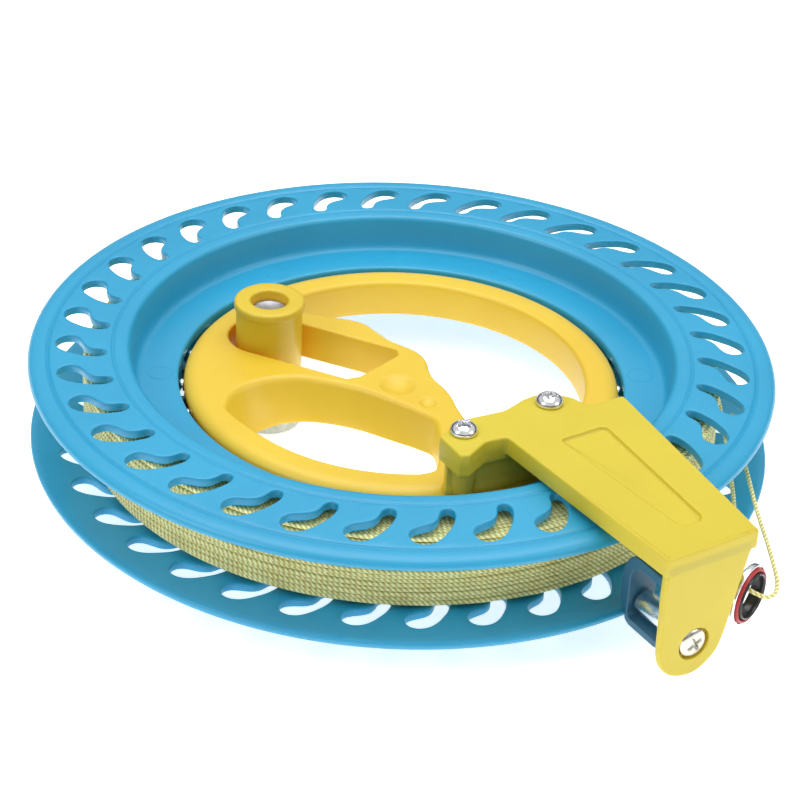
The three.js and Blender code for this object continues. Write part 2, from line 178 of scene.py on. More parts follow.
def add_noise(nodes, links, scale, detail):
    """A noise texture laid in the object's own coordinates."""
    place = nodes.new("ShaderNodeTexCoord")
    noise = nodes.new("ShaderNodeTexNoise")
    noise.inputs["Scale"].default_value = scale
    noise.inputs["Detail"].default_value = detail
    links.new(place.outputs["Object"], noise.inputs["Vector"])
    return noise


def add_ramp(nodes, links, value, low, low_at, high, high_at):
    """A colour that goes from low to high as the value goes from low_at to high_at."""
    ramp = nodes.new("ShaderNodeValToRGB")
    ends = ramp.color_ramp.elements
    ends[0].color, ends[0].position = (*low, 1), low_at
    ends[1].color, ends[1].position = (*high, 1), high_at
    links.new(value, ramp.inputs["Fac"])
    return ramp.outputs["Color"]


def add_bump(nodes, links, height, strength, distance):
    """A bump from a height texture, in metres of rise."""
    bump = nodes.new("ShaderNodeBump")
    bump.inputs["Strength"].default_value = strength
    bump.inputs["Distance"].default_value = distance
    links.new(height, bump.inputs["Height"])
    return bump


def add_gloss(nodes, links, value, least, most, shader):
    """Roughness that a texture moves between two values."""
    gloss = nodes.new("ShaderNodeMapRange")
    gloss.inputs["To Min"].default_value = least
    gloss.inputs["To Max"].default_value = most
    links.new(value, gloss.inputs["Value"])
    links.new(gloss.outputs["Result"], shader.inputs["Roughness"])


def twisted_line_finish():
    """Three-strand twist: slanted ridges run round the line, with painted shade in the grooves
    between them and a painted highlight along the ridges.
    """
    material, nodes, links, shader = new_material("twisted_line", 0.62)
    lay = nodes.new("ShaderNodeUVMap")
    lay.uv_map = "lay"
    mapping = nodes.new("ShaderNodeMapping")
    mapping.inputs["Scale"].default_value = (0.8, 2.0, 1.0)
    wave = nodes.new("ShaderNodeTexWave")
    wave.bands_direction = "DIAGONAL"
    wave.inputs["Scale"].default_value = 0.62832
    wave.inputs["Distortion"].default_value = 0.0
    links.new(lay.outputs["UV"], mapping.inputs["Vector"])
    links.new(mapping.outputs["Vector"], wave.inputs["Vector"])
    # Painted shade and highlight: the wave's low end darkens the grooves of the twist, its high end
    # lightens the ridges.
    strands = add_ramp(nodes, links, wave.outputs["Fac"], (0.60, 0.50, 0.13), 0.05,
                       (0.95, 0.97, 0.50), 0.75)
    fuzz = add_noise(nodes, links, 260, 3)
    dust = add_ramp(nodes, links, fuzz.outputs["Fac"], (0.80, 0.70, 0.45), 0.3, (1, 1, 1), 0.6)
    tone = nodes.new("ShaderNodeMix")
    tone.data_type = "RGBA"
    tone.blend_type = "MULTIPLY"
    tone.inputs["Factor"].default_value = 0.45
    links.new(strands, tone.inputs["A"])
    links.new(dust, tone.inputs["B"])
    links.new(tone.outputs["Result"], shader.inputs["Base Color"])
    ridges = add_bump(nodes, links, wave.outputs["Fac"], 0.6, 0.0003)
    links.new(ridges.outputs["Normal"], shader.inputs["Normal"])
    shader.inputs["Sheen Weight"].default_value = 0.25
    return material


LINE = twisted_line_finish()
line_points = [
    (77.9, 1.5, 0.2), (78.0, -10, 0.3), (77.9, -22, 0.4), (77.7, -34, 0.4), (77.4, -44, 0.3),
    (76.7, -54, 0.3), (75.6, -63, 0.3), (74.7, -69, 0.1), (74.7, -73.1, -0.1), (76.7, -75.5, -0.1),
    (79.2, -77.1, -0.7), (81.7, -77.5, -1.3), (83.5, -76.2, -1.2), (84.3, -73.4, -0.6),
    (84.2, -70, 0.1), (83.7, -65, 0.8), (83.1, -59, 1.3), (82.4, -53, 1.7), (81.8, -46, 2.1),
    (81.2, -38, 2.8), (80.6, -30, 3.6), (80.0, -22, 4.4), (79.4, -13, 5.2),
]
line_route, line_length = smooth_route(line_points, 0.4)
LINE_R, LINE_SIDES = 0.5, 10
points, lay = tube(line_route, LINE_R, LINE_SIDES)
faces = grid_faces(len(line_route), LINE_SIDES, close_columns=True).tolist()
count = len(line_route) * LINE_SIDES
faces += [list(range(LINE_SIDES)), list(range(count - LINE_SIDES, count))]
free_line = make_piece("free_line_strand", points, faces, LINE, "hub", ["free_line"],
                       uv=lay)


# ---- Wheel shells: two mirror-image injection mouldings in blue ABS, clamped together by six
# screws. Each has a flange with swept slots, a bead, a dish wall, a ledge and half a ball race.
def moulded_plastic(name, colour, deep, roughness, glow, recess=None):
    """Moulded ABS: a slow drift of tone, fine flow marks in the gloss, and a little light within.
    Where a recess colour is given, it is painted shade: ambient occlusion tints close corners
    and recesses toward it."""
    material, nodes, links, shader = new_material(name, roughness)
    drift = add_noise(nodes, links, 28, 4)
    tone = add_ramp(nodes, links, drift.outputs["Fac"], deep, 0.25, colour, 0.7)
    links.new(tone, shader.inputs["Base Color"])
    if recess:
        # Painted shade: ambient occlusion finds close corners and recesses, and the mix tints them
        # toward the recess colour.
        corners = nodes.new("ShaderNodeAmbientOcclusion")
        corners.inputs["Distance"].default_value = 0.012
        corners.samples = 8
        painted_recess_shade = nodes.new("ShaderNodeMix")
        painted_recess_shade.data_type = "RGBA"
        painted_recess_shade.inputs["A"].default_value = (*recess, 1)
        reach = nodes.new("ShaderNodeMapRange")
        reach.inputs["From Min"].default_value = 0.05
        reach.inputs["From Max"].default_value = 0.62
        links.new(corners.outputs["AO"], reach.inputs["Value"])
        links.new(reach.outputs["Result"], painted_recess_shade.inputs["Factor"])
        links.new(tone, painted_recess_shade.inputs["B"])
        links.new(painted_recess_shade.outputs["Result"], shader.inputs["Base Color"])
    grain = add_noise(nodes, links, 900, 5)
    add_gloss(nodes, links, grain.outputs["Fac"], roughness - 0.07, roughness + 0.09, shader)
    waves = add_noise(nodes, links, 140, 2)
    skin = add_bump(nodes, links, grain.outputs["Fac"], 0.12, 0.0002)
    flow = add_bump(nodes, links, waves.outputs["Fac"], 0.25, 0.0003)
    links.new(skin.outputs["Normal"], flow.inputs["Normal"])
    links.new(flow.outputs["Normal"], shader.inputs["Normal"])
    shader.inputs["Subsurface Weight"].default_value = glow
    shader.inputs["Subsurface Radius"].default_value = (1.0, 0.7, 0.35)
    shader.inputs["Subsurface Scale"].default_value = 0.0015
    shader.inputs["IOR"].default_value = 1.5
    return material


BLUE = moulded_plastic("blue_abs", (0.022, 0.330, 0.560), (0.018, 0.292, 0.505), 0.34, 0.06)
SECTORS, ACROSS, DOWN = 36, 12, 14
SLOT_HEAD_R, SLOT_HEAD_DEG, SLOT_LEAN = 80.2, 4.8, 0.557
FLANGE_IN, FLANGE_OUT = 70.3, 84.6
SCREWS, SCREW_RING_R, SCREW_DEG = 6, 58.5, 5


def slot_outline():
    """The comma-shaped slot: a closed Catmull-Rom curve through listed points, in millimetres
    along and out from the head's centre, stepped evenly on each of its four sides. The second
    result is its normal."""
    knots = np.array([
        (3.8, -7.6), (4.4, -8.5), (5.4, -8.9), (6.5, -8.4), (7.0, -7.1), (6.9, -5.5), (6.2, -3.1),
        (5.0, -0.9), (3.5, 1.2), (1.7, 2.7), (-0.4, 3.2), (-2.2, 2.6), (-3.2, 1.2), (-3.3, -0.5),
        (-2.4, -1.9), (-0.8, -2.8), (1.2, -3.6), (2.7, -4.7), (3.5, -6.2)])
    t = np.linspace(0, 1, 60, endpoint=False)[:, None]
    a, b, c, d = (np.roll(knots, k, 0) for k in (1, 0, -1, -2))
    curve = np.stack([0.5 * (2 * p1 + (p2 - p0) * t + (2 * p0 - 5 * p1 + 4 * p2 - p3) * t ** 2
                             + (3 * p1 - p0 - 3 * p2 + p3) * t ** 3)
                      for p0, p1, p2, p3 in zip(a, b, c, d)]).reshape(-1, 2)
    corners = [0, 3, 8, 12, len(knots)]
    sides = []
    for first, last, steps in zip(corners[:-1], corners[1:], (ACROSS, DOWN, ACROSS, DOWN)):
        part = np.vstack([curve, curve[:1]])[first * 60:last * 60 + 1]
        along = np.concatenate([[0], np.cumsum(np.linalg.norm(np.diff(part, axis=0), axis=1))])
        stops = np.linspace(0, along[-1], steps, endpoint=False)
        sides.append(np.stack([np.interp(stops, along, part[:, k]) for k in (0, 1)], 1))
    outline = np.vstack(sides)
    ahead = np.roll(outline, -1, 0) - np.roll(outline, 1, 0)
    ahead /= np.linalg.norm(ahead, axis=1, keepdims=True)
    return outline, np.stack([ahead[:, 1], -ahead[:, 0]], 1)


def flange_edge():
    """One sector's border as radius and angle in radians: in edge, right side, out edge, left side.
    The sides lean with the slot."""
    j, i = np.arange(ACROSS) / ACROSS, np.arange(DOWN) / DOWN
    rise = i * (FLANGE_OUT - FLANGE_IN)
    radius = np.concatenate([np.full(ACROSS, FLANGE_IN), FLANGE_IN + rise,
                             np.full(ACROSS, FLANGE_OUT), FLANGE_OUT - rise])
    share = np.concatenate([j, np.ones(DOWN), 1 - j, np.zeros(DOWN)])
    step = 360 / SECTORS
    return radius, np.radians((share - 0.5) * step + SLOT_LEAN * (SLOT_HEAD_R - radius))


def flange_top(radius):
    """Height of the flange's outer face: a shallow cone that rises inward."""
    return 12.15 + 0.9 * (FLANGE_OUT - radius) / (FLANGE_OUT - FLANGE_IN)


def flange_sectors():
    """All sectors of the slotted flange: rings of points from the border of a sector in to its
    slot, over the slot's rounded edge, down its wall and back out under the plate."""
    outline, outward = slot_outline()
    border_r, border_a = flange_edge()
    fillet, thick = 0.4, 2.2
    layers = []
    for share, lift, drop in [
        (1, 0, 0), (0.55, 0, 0), (0.2, 0, 0), (0, 1, 0), (0, 0.62, 0.08), (0, 0.29, 0.29),
        (0, 0.08, 0.62), (0, 0, 1), (0, 0, -1), (0, 0.29, -0.29), (0, 1, -0.001), (0.2, 1, -0.001),
        (1, 1, -0.001),
    ]:
        edge = outline + outward * fillet * (lift if share == 0 else 1)
        radius = SLOT_HEAD_R + edge[:, 1]
        angle = edge[:, 0] / radius
        radius = radius + share * (border_r - radius)
        angle = angle + share * (border_a - angle)
        height = flange_top(radius) - (fillet * drop if drop >= 0 else thick + fillet * drop)
        layers.append(np.stack([radius, angle, height], -1))
    sector = np.array(layers)
    turn = np.radians(SLOT_HEAD_DEG + np.arange(SECTORS) * 360 / SECTORS)
    angle = sector[None, :, :, 1] + turn[:, None, None]
    radius = np.broadcast_to(sector[None, :, :, 0], angle.shape)
    height = np.broadcast_to(sector[None, :, :, 2], angle.shape)
    points = np.stack([radius * np.cos(angle), radius * np.sin(angle), height], -1)
    each = grid_faces(len(layers), outline.shape[0], close_columns=True)
    count = len(layers) * outline.shape[0]
    return points, (each[None] + (np.arange(SECTORS) * count)[:, None, None]).reshape(-1, 4)


def turned(profile, columns, start=0.0):
    """A profile of radius and height carried round Z in the given number of columns."""
    profile = np.array(profile, float)
    angle = np.radians(start) + np.linspace(0, 2 * np.pi, columns, endpoint=False)
    r, a = np.meshgrid(profile[:, 0], angle, indexing="ij")
    return np.stack([r * np.cos(a), r * np.sin(a), np.broadcast_to(profile[:, 1:], r.shape)], -1)


def gather(*surfaces):
    """Several surfaces' points and faces as one."""
    points, faces, base = [], [], 0
    for some, quads in surfaces:
        some = np.asarray(some).reshape(-1, 3)
        points.append(some)
        faces.append(np.asarray(quads) + base)
        base += len(some)
    return np.vstack(points), np.vstack(faces)


def moved(surface, place, azimuth=0.0, lean=None):
    """A surface turned about Z by azimuth degrees (after its Z is laid along X if lean is set) and
    carried to a place."""
    points, faces = surface
    points = np.asarray(points, float).reshape(-1, 3)
    if lean:
        points = points[:, [2, 0, 1]]
    c, s = math.cos(math.radians(azimuth)), math.sin(math.radians(azimuth))
    x, y, z = points.T
    return np.stack([c * x - s * y, s * x + c * y, z], 1) + np.array(place, float), faces


def spots_round(radius, first_deg, count, height=0.0):
    """Places spread evenly on a circle round Z, from the first one's azimuth."""
    return [(radius * math.cos(a), radius * math.sin(a), height)
            for a in np.radians(first_deg + np.arange(count) * 360 / count)]


def shell_surface():
    """The upper shell: slotted flange sectors, the rim band outside and the dish band inside them,
    and on the ledge the six round marks of the screw bosses."""
    columns = SECTORS * ACROSS
    rim = [(84.6, 12.15), (84.85, 12.02), (85.0, 11.84), (85.2, 11.74), (85.4, 11.8),
           (85.6, 11.98), (85.9, 12.1), (86.5, 12.14), (87.6, 12.05), (88.6, 11.85), (89.3, 11.5),
           (89.75, 11.0), (89.97, 10.4), (89.95, 9.9), (89.7, 9.6), (89.2, 9.45), (88.2, 9.55),
           (84.6, 9.9502)]
    dish = [(70.3, 13.05), (70.15, 12.98), (70.0, 12.82), (69.8, 12.74), (69.6, 12.8),
            (69.45, 12.96), (69.2, 13.06), (68.5, 13.1), (67.3, 13.1), (66.6, 13.04), (66.05, 12.8),
            (65.7, 12.4), (65.5, 11.8), (65.15, 9.2), (64.8, 6.4), (64.6, 5.4), (64.3, 4.75),
            (63.8, 4.35), (63.1, 4.15), (62.2, 4.1), (58.5, 4.1), (55.0, 4.1), (54.6, 4.02),
            (54.3, 3.8), (54.2, 3.4), (54.2, 1.6), (54.5, 1.3), (54.8, 0.9), (55.0, 0.15),
            (60, 0.15), (67.5, 0.15), (67.5, 9.4), (67.6, 9.9), (67.9, 10.3), (68.5, 10.6),
            (70.3, 10.8502)]
    lean = [SLOT_HEAD_DEG - 5 + SLOT_LEAN * (SLOT_HEAD_R - r) for r in (FLANGE_OUT, FLANGE_IN)]
    bands = [(turned(band, columns, start), grid_faces(len(band), columns, close_columns=True))
             for band, start in zip((rim, dish), lean)]
    mark = [(2.75, 4.04), (2.8, 4.15), (3.05, 4.17), (3.15, 4.04)]
    marks = [moved((turned(mark, 36), grid_faces(len(mark), 36, True, True)), spot)
             for spot in spots_round(SCREW_RING_R, SCREW_DEG, SCREWS)]
    return gather(flange_sectors(), *bands, *marks)


shell_points, shell_faces = shell_surface()
for name, side in (("upper", 1), ("lower", -1)):
    make_piece(f"{name}_shell", shell_points * [1, 1, side], shell_faces, BLUE, "wheel",
               [f"wheel_{name}_shell"])


# ---- Winding: the whole twisted polyester line, laid on the drum in turns that wander a little.
# The turns that show are round tubes; a plain core stands for those below them.
def wound_turns():
    """Closed rings of line on the face of the pack: radius and height wander as slow waves."""
    rng = np.random.default_rng(7)
    angle = np.linspace(0, 2 * np.pi, 300, endpoint=False)
    outer = [(76.35, z) for z in np.linspace(-8.5, 8.5, 16)]
    faces_of_pack = [(r, s * 8.85) for s in (1, -1) for r in np.arange(75.4, 68.2, -1.06)]
    runs = []
    for radius, height in outer + faces_of_pack:
        a, b, c, d = rng.uniform(0, 2 * np.pi, 4)
        swing = 0.16 * np.sin(angle * 2 + a) + 0.10 * np.sin(angle * 5 + b)
        climb = 0.20 * np.sin(angle + c) + 0.12 * np.sin(angle * 3 + d)
        if abs(height) > 8.6:
            climb = -np.sign(height) * np.abs(climb)
        r = radius + swing
        runs.append(np.stack([r * np.cos(angle), r * np.sin(angle), height + climb * 0.8], -1))
    return runs


def closed_tubes(runs, radius, sides):
    """One surface from many closed runs of line, with their uv: along in millimetres, and round."""
    points, faces, lays, base = [], [], [], 0
    for run in runs:
        ring, lay = tube(run, radius, sides, closed=True)
        points.append(ring.reshape(-1, 3))
        lays.append(lay.reshape(-1, 2))
        faces.append(grid_faces(len(run), sides, True, True) + base)
        base += len(run) * sides
    return np.vstack(points), np.vstack(faces), np.vstack(lays)


turn_points, turn_faces, turn_lay = closed_tubes(wound_turns(), 0.56, 8)
make_piece("wound_line", turn_points, turn_faces, LINE, "wheel", ["line_winding"],
           uv=turn_lay, periods=(LAYS_ROUND, 1))
core = [(67.8, -8.7), (75.8, -8.7), (76.1, -8.2), (76.1, 8.2), (75.8, 8.7), (67.8, 8.7)]
make_piece("winding_core", turned(core, 240), grid_faces(len(core), 240, True, True), LINE, "wheel",
           ())


# ---- Bearing: 24 hard steel balls between the hub and the shells, kept apart by a moulded snap-in
# cage. Only slivers of it show in the gap round the hub.
def polished_metal(name, colour, roughness, scratch):
    """Bright metal with fine scratches that change its gloss, its tone and its reflections."""
    material, nodes, links, shader = new_material(name, roughness)
    shader.inputs["Metallic"].default_value = 1.0
    scratches = add_noise(nodes, links, scratch, 6)
    scratches.inputs["Roughness"].default_value = 0.7
    fine = scratches.outputs["Fac"]
    add_gloss(nodes, links, fine, max(roughness - 0.06, 0.03), roughness + 0.14, shader)
    dull = [0.7 * part for part in colour]
    links.new(add_ramp(nodes, links, fine, dull, 0.3, colour, 0.62), shader.inputs["Base Color"])
    marks = add_bump(nodes, links, fine, 0.12, 0.0001)
    links.new(marks.outputs["Normal"], shader.inputs["Normal"])
    return material


ON_AXIS = 1e-4


def turned_piece(profile, columns, ring=False):
    """A turned solid as points and quads. An end at radius ON_AXIS shrinks to one point when its
    piece is welded; a ring's profile closes on itself."""
    faces = grid_faces(len(profile), columns, close_rows=ring, close_columns=True)
    return turned(profile, columns), faces


def block(size, rounding):
    """A box of half sizes with rounded edges: a sphere's grid pushed out to the box's corners."""
    lat = np.linspace(-np.pi / 2, np.pi / 2, 12)
    lon = np.linspace(0, 2 * np.pi, 24, endpoint=False) + np.pi / 24
    a, b = np.meshgrid(lat, lon, indexing="ij")
    ball = np.stack([np.cos(a) * np.cos(b), np.cos(a) * np.sin(b), np.sin(a)], -1)
    reach = np.clip(ball * 40, -1, 1) * (np.array(size) - rounding)
    return reach + ball * rounding, grid_faces(12, 24, close_columns=True)


CHROME = polished_metal("bright_chrome", (0.86, 0.87, 0.89), 0.10, 700)
BALLS, BALL_R, BALL_PITCH_R, BALL_DEG = 24, 1.6, 53.3, 3.75
half_circle = [(BALL_R * math.cos(a) + ON_AXIS, BALL_R * math.sin(a))
               for a in np.linspace(-np.pi / 2, np.pi / 2, 13)]
points, faces = gather(*[moved(turned_piece(half_circle, 20), spot)
                         for spot in spots_round(BALL_PITCH_R, BALL_DEG, BALLS)])
make_piece("bearing_balls", points, faces, CHROME, "bearing",
           [f"ball_{n:02d}" for n in range(1, BALLS + 1)], sharp=60)
CAGE = moulded_plastic("cage_nylon", (0.035, 0.060, 0.070), (0.020, 0.035, 0.042), 0.45, 0.0)
ring_band = [(51.95, -2.9), (52.6, -2.9), (52.7, -2.75), (52.7, -2.1), (52.6, -2.0), (51.95, -2.0),
             (51.9, -2.1), (51.9, -2.8)]
half_pitch = 180 / BALLS
fingers = [moved(block((0.85, 0.75, 1.85), 0.25), spot, BALL_DEG + half_pitch * (2 * step + 1))
           for step, spot in enumerate(spots_round(53.25, BALL_DEG + half_pitch, BALLS, -1.05))]
points, faces = gather(turned_piece(ring_band, 144, ring=True), *fingers)
make_piece("bearing_cage", points, faces, CAGE, "bearing", ["ball_cage"])


# ---- Wheel screws: six zinc-plated steel pan heads under the lower ledge, with pressed cross
# recesses. Each shank goes up through the lower shell into the upper one and clamps the two.
def cross_screw(head_radius, head_height, shank_radius, shank_length, turn=20.0):
    """A pan-head cross-recess screw standing on z = 0: the dome is a flattened half sphere, and the
    cross is two tapered grooves and a bowl sunk in it; its shank goes down."""
    radii = np.linspace(0, 1, 34) * head_radius
    angle = np.linspace(0, 2 * np.pi, 96, endpoint=False)
    r, a = np.meshgrid(radii, angle, indexing="ij")
    dome = np.sqrt(np.maximum(1 - (r / head_radius) ** 2, 0))
    dome = 0.12 * head_height + 0.88 * head_height * dome
    c, s = r * np.cos(a - math.radians(turn)), r * np.sin(a - math.radians(turn))
    across, along = np.minimum(np.abs(c), np.abs(s)), np.maximum(np.abs(c), np.abs(s))
    arm = np.clip((0.11 * head_radius - across) / (0.05 * head_radius) + 0.5, 0, 1)
    reach = np.clip((0.56 * head_radius - along) / (0.18 * head_radius), 0, 1)
    bowl = np.clip(1 - r / (0.42 * head_radius), 0, 1) * 0.35
    dome = dome - 0.62 * head_height * np.clip(arm * reach + bowl, 0, 1)
    top = np.stack([r * np.cos(a), r * np.sin(a), dome], -1)
    below = [(head_radius, 0.10 * head_height), (0.97 * head_radius, 0.02 * head_height),
             (0.9 * head_radius, 0), (shank_radius, 0), (shank_radius, -shank_length + 0.5),
             (0.6 * shank_radius, -shank_length), (ON_AXIS, -shank_length)]
    surface = np.concatenate([top, turned(below, 96)])
    return surface, grid_faces(len(radii) + len(below), 96, close_columns=True)


ZINC = polished_metal("zinc_plate", (0.72, 0.70, 0.62), 0.24, 500)
low_screws = []
for step, spot in enumerate(spots_round(SCREW_RING_R, SCREW_DEG, SCREWS, -4.15)):
    points, faces = cross_screw(2.7, 1.7, 1.2, 6.9, 25 + 37 * step)
    low_screws.append(moved((points * [1, -1, -1], faces), spot))
points, faces = gather(*low_screws)
make_piece("shell_screws", points, faces, ZINC, "wheel",
           [f"wheel_screw_{n}" for n in range(1, SCREWS + 1)])


# ---- Grip hub: one warm-yellow moulding. Its ring carries the inner ball race; the grip bar
# across it has a waved finger edge, two dimples, a slot for the lock and a scoop for the thumb.
def offset_loop(loop, inset):
    """A closed outline moved to its left by inset, each corner kept sharp by its mitre."""
    ahead = np.roll(loop, -1, 0) - loop
    ahead /= np.linalg.norm(ahead, axis=1, keepdims=True)
    side = np.stack([-ahead[:, 1], ahead[:, 0]], 1)
    before = np.roll(side, 1, 0)
    share = 1 + (side * before).sum(1, keepdims=True)
    return loop + inset * (side + before) / np.maximum(share, 0.3)


def facing(loop, hole):
    """The outline counter-clockwise, or clockwise for a hole, so its left is always material."""
    x, y = loop.T
    area = (x * np.roll(y, -1) - y * np.roll(x, -1)).sum()
    return loop if (area > 0) != hole else loop[::-1]


def slab(outlines, rows, pits=(), pit_rows=(), bends=None):
    """A plate in u, v and height: each outline (the first outside, the rest holes) has rows of
    inset and height from its top edge to its bottom edge, and each pit has rows down to its floor.
    The flat faces between are filled with triangles. A bend may move an outline's rows, given
    their heights, before the filling."""
    points, faces, base = [], [], 0
    tops, bottoms, top_ids, bottom_ids = [], [], [], []
    for index, loop in enumerate(list(outlines) + list(pits)):
        is_pit = index >= len(outlines)
        steps = pit_rows[index - len(outlines)] if is_pit else rows[index]
        loop = facing(np.array(loop, float), index > 0)
        count = len(loop)
        wall = [np.column_stack([offset_loop(loop, inset), np.full(count, height)])
                for inset, height in steps]
        if bends and index in bends:
            wall = list(bends[index](np.array(wall)))
        points += wall
        faces += (grid_faces(len(steps), count, close_columns=True) + base).tolist()
        tops.append(wall[0])
        top_ids += list(range(base, base + count))
        last = range(base + (len(steps) - 1) * count, base + len(steps) * count)
        if is_pit:
            faces.append(list(last))
        else:
            bottoms.append(wall[-1])
            bottom_ids += list(last)
        base += len(steps) * count
    for loops, ids in ((tops, top_ids), (bottoms, bottom_ids)):
        triangles = tessellate_polygon([[Vector((x, y, 0)) for x, y, z in loop] for loop in loops])
        faces += [[ids[corner] for corner in triangle] for triangle in triangles]
    return np.vstack(points), faces


def rounded(corners, radius, steps=6):
    """A closed outline whose corners are replaced by arcs of a radius, or of one radius each."""
    corners = np.array(corners, float)
    radii = np.broadcast_to(radius, (len(corners),))
    before, after = np.roll(corners, 1, 0) - corners, np.roll(corners, -1, 0) - corners
    reach_before, reach_after = np.linalg.norm(before, axis=1), np.linalg.norm(after, axis=1)
    before, after = before / reach_before[:, None], after / reach_after[:, None]
    half = np.arccos(np.clip((before * after).sum(1), -1, 1)) / 2
    tangent = np.minimum(radii / np.tan(half), 0.48 * np.minimum(reach_before, reach_after))
    t = np.linspace(0, 1, steps)[None, :, None]
    start = (corners + before * tangent[:, None])[:, None]
    end = (corners + after * tangent[:, None])[:, None]
    arcs = (1 - t) ** 2 * start + 2 * t * (1 - t) * corners[:, None] + t ** 2 * end
    return arcs.reshape(-1, 2)


def through(points, closed_by_arc=None):
    """A smooth run through points, and then, where a radius is given, round that circle back to
    its start."""
    run, _ = smooth_route([(x, y, 0) for x, y in points], 0.9)
    run = run[:, :2]
    if closed_by_arc is None:
        return run
    start = math.atan2(run[-1, 1], run[-1, 0])
    sweep = (math.atan2(run[0, 1], run[0, 0]) - start) % (2 * math.pi)
    angle = start + np.linspace(0, 1, max(int(sweep * closed_by_arc / 1.2), 4))[1:-1] * sweep
    return np.vstack([run, closed_by_arc * np.stack([np.cos(angle), np.sin(angle)], 1)])


def circle(x, y, radius, count):
    """An outline of count points, counter-clockwise round x, y."""
    angle = np.linspace(0, 2 * np.pi, count, endpoint=False)
    return np.stack([x + radius * np.cos(angle), y + radius * np.sin(angle)], 1)


def on_arm(points):
    """Points of the arm's own frame (out along it, across it, up) in the reel's frame."""
    s, n, z = np.asarray(points, float).reshape(-1, 3).T
    c, d = math.cos(math.radians(ARM_DEG)), math.sin(math.radians(ARM_DEG))
    return np.stack([s * c - n * d, s * d + n * c, z], 1)


# The last colour is painted shade, laid into close corners and recesses.
HUB = moulded_plastic("hub_yellow_abs", (0.74, 0.525, 0.040), (0.68, 0.455, 0.028), 0.36, 0.22,
                      (0.86, 0.40, 0.006))
ARM_DEG, ARM_BOLTS = -56.6, ((47.97, -14.27), (46.9, 9.8))
HUB_R, HUB_BORE, HUB_HALF, SLIDE_DEG = 52.9, 44.6, 4.8, 157
big_opening = through([
    (-31.2, 31.9), (-28.8, 29.5), (-26, 27.6), (-18.3, 25.7), (-13, 24.6), (-10, 23.2),
    (-6.7, 19.4), (-3.3, 15.4), (0, 13.1), (3.2, 10.8), (5.3, 8.0), (6.3, 5), (6.8, 1.7),
    (8.1, -2.1), (10.7, -6.2),
    (12.4, -10), (13.6, -14.2), (15.6, -19.4), (19.5, -28), (24.2, -34.2), (28.0, -34.9),
    (32.0, -31.1)], HUB_BORE)[::-1]
lens = through([
    (5.2, -44.3), (8.4, -42.6), (9.3, -39.5), (9.4, -34), (9.2, -27), (7.9, -22.4), (4.6, -20.0),
    (-1.7, -16.7), (-10, -12.6), (-17, -10.6), (-23.5, -10.3), (-29.5, -12.4), (-34.0, -16.2),
    (-37.0, -20.4), (-38.3, -22.9)], HUB_BORE)
turn = math.radians(SLIDE_DEG - 180)
spin = np.array([[math.cos(turn), math.sin(turn)], [-math.sin(turn), math.cos(turn)]])
angle = np.radians(np.linspace(90, 270, 25))
SLOT_HALF = 9.2
slot_end = np.stack([-37.2 + SLOT_HALF * np.cos(angle), SLOT_HALF * np.sin(angle)], 1)
slot_tip = rounded([(-20, -SLOT_HALF), (-10.5, -SLOT_HALF), (-8.2, -6.8), (-4.2, 6.8),
                    (-5.6, SLOT_HALF), (-20, SLOT_HALF)], 1.0)[6:-6]
lock_slot = np.vstack([slot_end, slot_tip]) @ spin
edge_rows = [(1.35, 4.8), (1.15, 4.8), (0.72, 4.71), (0.36, 4.47), (0.1, 4.08), (0, 3.6),
             (0, -3.9), (0.12, -4.4), (0.45, -4.7), (0.9, -4.8), (1.1, -4.8)]
slot_rows = [(0.75, 4.8), (0.6, 4.8), (0.3, 4.71), (0.08, 4.5), (0, 4.2), (0, -4.2), (0.2, -4.7),
             (0.6, -4.8), (0.8, -4.8)]
race_rows = [(4.2, 4.8), (4.0, 4.8), (3.0, 4.7), (2.0, 4.44), (1.1, 3.98), (0.45, 3.35),
             (0.08, 2.6), (0, 2.0), (0, 1.7), (0.4, 1.45), (0.85, 1.2), (1.25, 0.6), (1.36, 0),
             (1.3, -1.3), (1.3, -3.2), (0, -3.2), (0, -4.2), (0.18, -4.6), (0.6, -4.8),
             (0.8, -4.8)]


def dimple_rows(radius, depth):
    """Rows of a round dimple: a short lip, then a bowl whose fall is depth times the sine of a
    quarter turn, spread over the radius."""
    bowl = [(-radius * f, HUB_HALF - depth * math.sin(f * math.pi / 2))
            for f in np.linspace(0, 0.96, 12)]
    return [(0.3, HUB_HALF), (0.15, HUB_HALF)] + bowl


lens = facing(lens, True)
wall = [(0, z) for z in np.linspace(3.2, -4.2, 10)]
lens_rows = [row for row in edge_rows if row[1] > 3.5] + wall
lens_rows += [(0.05, -4.6), (0.2, -4.8), (0.4, -4.8)]
scoop_places = np.array([
    (9.2, -27), (7.9, -22.4), (-1.7, -16.7), (-10, -12.6), (-17, -10.6), (-23.5, -10.3),
    (-29.5, -12.4), (-34, -16.2), (-37, -20.4), (-38.3, -22.9), (-34.5, -28.3)])
scoop_reach = np.array([
    (0, 0), (0.6, 1.2), (0.2, 3.2), (0, 4.2), (-0.5, 4.5), (-2.2, 5.6), (-4.0, 5.6), (-5.0, 5.0),
    (-4.2, 3.9), (-2.4, 1.6), (0, 0)])
step = np.linalg.norm(np.roll(lens, -1, 0) - lens, axis=1)
first = np.argmin(np.linalg.norm(lens - scoop_places[-1], axis=1))
along = np.roll(np.concatenate([[0], np.cumsum(np.roll(step, -first))[:-1]]), first)
stops = along[[np.argmin(np.linalg.norm(lens - place, axis=1)) for place in scoop_places]]
order = np.argsort(stops)
spread = np.stack([np.interp(along, stops[order], scoop_reach[order, k], left=0, right=0)
                   for k in (0, 1)], 1)
spread = sum(np.roll(spread, k, 0) for k in range(-3, 4)) / 7


def scooped(rim):
    """The lens's wall, laid out toward the lock by its spread times its height's share to 0.7."""
    rise = np.clip((rim[:, :, 2:] + HUB_HALF) / (2 * HUB_HALF), 0, 1) ** 0.7
    return np.concatenate([rim[:, :, :2] + rise * spread, rim[:, :, 2:]], 2)


